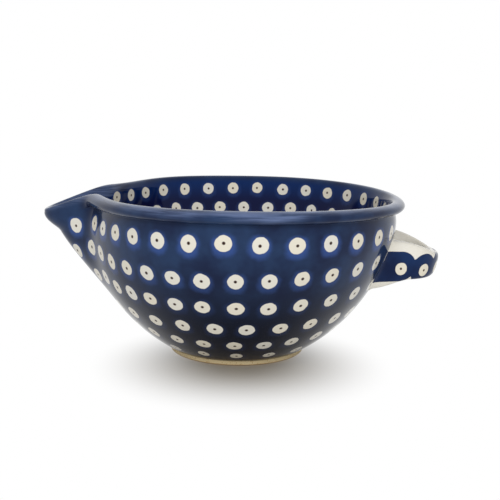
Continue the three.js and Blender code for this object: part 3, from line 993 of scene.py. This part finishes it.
def cream_glaze(dot_group, flow_group):
    material, tree, skin = new_material("cream glaze with navy discs")
    dot = use_group(tree, dot_group, {"Place": uv(tree, "stamp"), "Chance": uv(tree, "chance")})
    flow = use_group(tree, flow_group, {"Ripple Scale": CREAM_RIPPLES, "Pool Scale": CREAM_POOLS})
    away = add(tree, "ShaderNodeSeparateXYZ", {0: uv(tree, "band")}).outputs[0]
    wander = calc(tree, "MULTIPLY", calc(tree, "SUBTRACT", flow["Ripple"], 0.5), DISC_WANDER)
    disc = fall(tree, calc(tree, "ADD", away, wander), DISC_FULL, DISC_GONE)
    cream = blend(tree, flow["Pool"], CREAM_DEEP, CREAM_THIN)
    navy = blend(tree, flow["Pool"], DISC_DEEP, DISC_THIN)
    banded = blend(tree, disc, cream, navy)
    dotted = blend(tree, dot["Dot"], banded, DOT_CREAM)
    glossed(tree, skin, blend(tree, dot["Point"], dotted, DOT_BROWN), flow)
    return material


def biscuit_clay():
    material, tree, skin = new_material("bare biscuit clay")
    where = add(tree, "ShaderNodeTexCoord").outputs["Object"]
    grain = noise(tree, where, GRAIN_SCALE, BROKEN_DETAIL, BROKEN_ROUGHNESS)
    body = blend(tree, noise(tree, where, CLOUD_SCALE), CLAY_DARK, CLAY_PALE)
    grained = blend(tree, fall(tree, grain, SPECK_FULL, SPECK_GONE), body, CLAY_SPECK)
    height = add(tree, "ShaderNodeSeparateXYZ", {0: where}).outputs[2]
    # Painted contact shadow, together with the clay's toasting, darkens the foot's bottom edge
    toasted_and_shaded = blend(tree, fall(tree, height, TOAST_AND_SHADE_FULL, TOAST_AND_SHADE_GONE), grained, CLAY_TOASTED_AND_SHADED)
    tree.links.new(toasted_and_shaded, skin.inputs["Base Color"])
    rough = calc(tree, "MULTIPLY", grain, CLAY_ROUGH_SPREAD)
    tree.links.new(calc(tree, "ADD", rough, CLAY_ROUGH_LEAST), skin.inputs["Roughness"])
    tree.links.new(bump(tree, grain, GRAIN_STRENGTH, GRAIN_DEPTH), skin.inputs["Normal"])
    return material


# Stage, in metres: a pale floor that keeps the shadow and runs out into white, in an even white tent
WHITE, BLACK = (1.0, 1.0, 1.0, 1.0), (0.0, 0.0, 0.0, 1.0)
FLOOR_RADIUS, FLOOR_CORNERS = 6.0, 96
FLOOR_PALE = (0.46, 0.42, 0.36, 1.0)
FLOOR_BOUNCE = 0.6
FLOOR_SHADE = (0.0, -0.035, 0.0)
FLOOR_KEPT, FLOOR_GONE = 0.01, 0.091
TENT_LEVEL = 0.32
TENT_TINT = (1.0, 0.97, 0.92, 1.0)
LAMP_AIM = (0.0, 0.0, 0.05)
SOFT_LAMPS = (
    ("soft lamp in front", (0.0, -1.5, 0.8), (2.2, 1.2), 22.5),
    ("soft lamp behind", (0.0, 1.4, 0.9), (1.8, 1.0), 8.0),
)


def seen(tree):
    """Rays that show the background, straight on, mirrored or through glass."""
    rays = add(tree, "ShaderNodeLightPath").outputs
    mirrored = calc(tree, "MAXIMUM", rays["Is Glossy Ray"], rays["Is Transmission Ray"])
    return calc(tree, "MAXIMUM", rays["Is Camera Ray"], mirrored)


def make_floor():
    mesh = bpy.data.meshes.new("pale_floor")
    turns = np.linspace(0, 2 * math.pi, FLOOR_CORNERS, endpoint=False)
    edge = [(FLOOR_RADIUS * math.cos(turn), FLOOR_RADIUS * math.sin(turn), 0) for turn in turns]
    mesh.from_pydata(edge, [], [range(FLOOR_CORNERS)])
    floor = bpy.data.objects.new("pale_floor", mesh)
    bpy.context.scene.collection.objects.link(floor)
    material, tree, skin = new_material("pale floor")
    where = add(tree, "ShaderNodeTexCoord").outputs["Object"]
    far = fall(tree, distance(tree, where, FLOOR_SHADE), FLOOR_GONE, FLOOR_KEPT)
    tree.links.new(blend(tree, far, FLOOR_PALE, BLACK), skin.inputs["Base Color"])
    skin.inputs["Roughness"].default_value = 1.0
    skin.inputs["Specular IOR Level"].default_value = 0.0
    skin.inputs["Emission Color"].default_value = WHITE
    white = calc(tree, "MAXIMUM", seen(tree), FLOOR_BOUNCE)
    tree.links.new(calc(tree, "MULTIPLY", far, white), skin.inputs["Emission Strength"])
    mesh.materials.append(material)


def make_tent():
    world = bpy.data.worlds.new("white tent")
    world.use_nodes = True
    tree = world.node_tree
    shown = seen(tree)
    skin = tree.nodes["Background"]
    tree.links.new(blend(tree, shown, TENT_TINT, WHITE), skin.inputs["Color"])
    tree.links.new(calc(tree, "MAXIMUM", shown, TENT_LEVEL), skin.inputs["Strength"])
    bpy.context.scene.world = world


def make_lamps():
    for name, place, size, power in SOFT_LAMPS:
        lamp = bpy.data.lights.new(name, "AREA")
        lamp.shape = "RECTANGLE"
        lamp.size, lamp.size_y = size
        lamp.energy = power
        holder = bpy.data.objects.new(name, lamp)
        holder.location = place
        holder.visible_glossy = False
        holder.rotation_euler = (Vector(LAMP_AIM) - Vector(place)).to_track_quat("-Z", "Y").to_euler()
        bpy.context.scene.collection.objects.link(holder)


# Camera at the photograph's viewing angle, its place in millimetres from the bowl's axis
CAMERA_PLACE = (0.0, -546.7, 159.7)
CAMERA_YAW, CAMERA_PITCH, CAMERA_ROLL = 0.0132, 0.1779, 0.0176
SENSOR_WIDTH, FOCAL_SHARE = 36.0, 1.8
CLIP_NEAR, CLIP_FAR = 0.01, 100.0


def make_camera():
    data = bpy.data.cameras.new("camera")
    data.sensor_width = SENSOR_WIDTH
    data.lens = SENSOR_WIDTH * FOCAL_SHARE
    data.clip_start = CLIP_NEAR
    data.clip_end = CLIP_FAR
    level = np.array([math.sin(CAMERA_YAW), math.cos(CAMERA_YAW), 0])
    ahead = level * math.cos(CAMERA_PITCH) - np.array([0, 0, math.sin(CAMERA_PITCH)])
    side = np.array([math.cos(CAMERA_YAW), -math.sin(CAMERA_YAW), 0])
    above = np.cross(side, ahead)
    right = side * math.cos(CAMERA_ROLL) + above * math.sin(CAMERA_ROLL)
    up = above * math.cos(CAMERA_ROLL) - side * math.sin(CAMERA_ROLL)
    camera = bpy.data.objects.new("camera", data)
    place = (np.array(CAMERA_PLACE) + (AXIS_X, 0, 0)) * MM
    matrix = np.eye(4)
    matrix[:3] = np.stack([right, up, -ahead, place], axis=1)
    camera.matrix_world = Matrix(matrix.tolist())
    bpy.context.scene.collection.objects.link(camera)
    bpy.context.scene.camera = camera


def main():
    bpy.context.scene.view_settings.view_transform = "Standard"
    make_camera()
    make_floor()
    make_tent()
    make_lamps()
    dot_group, flow_group = stamped_dot_group(), glaze_group()
    navy = navy_glaze(dot_group, flow_group)
    cream = cream_glaze(dot_group, flow_group)
    make_bowl(navy, cream)
    make_handle(cream)
    make_foot(biscuit_clay())


main()
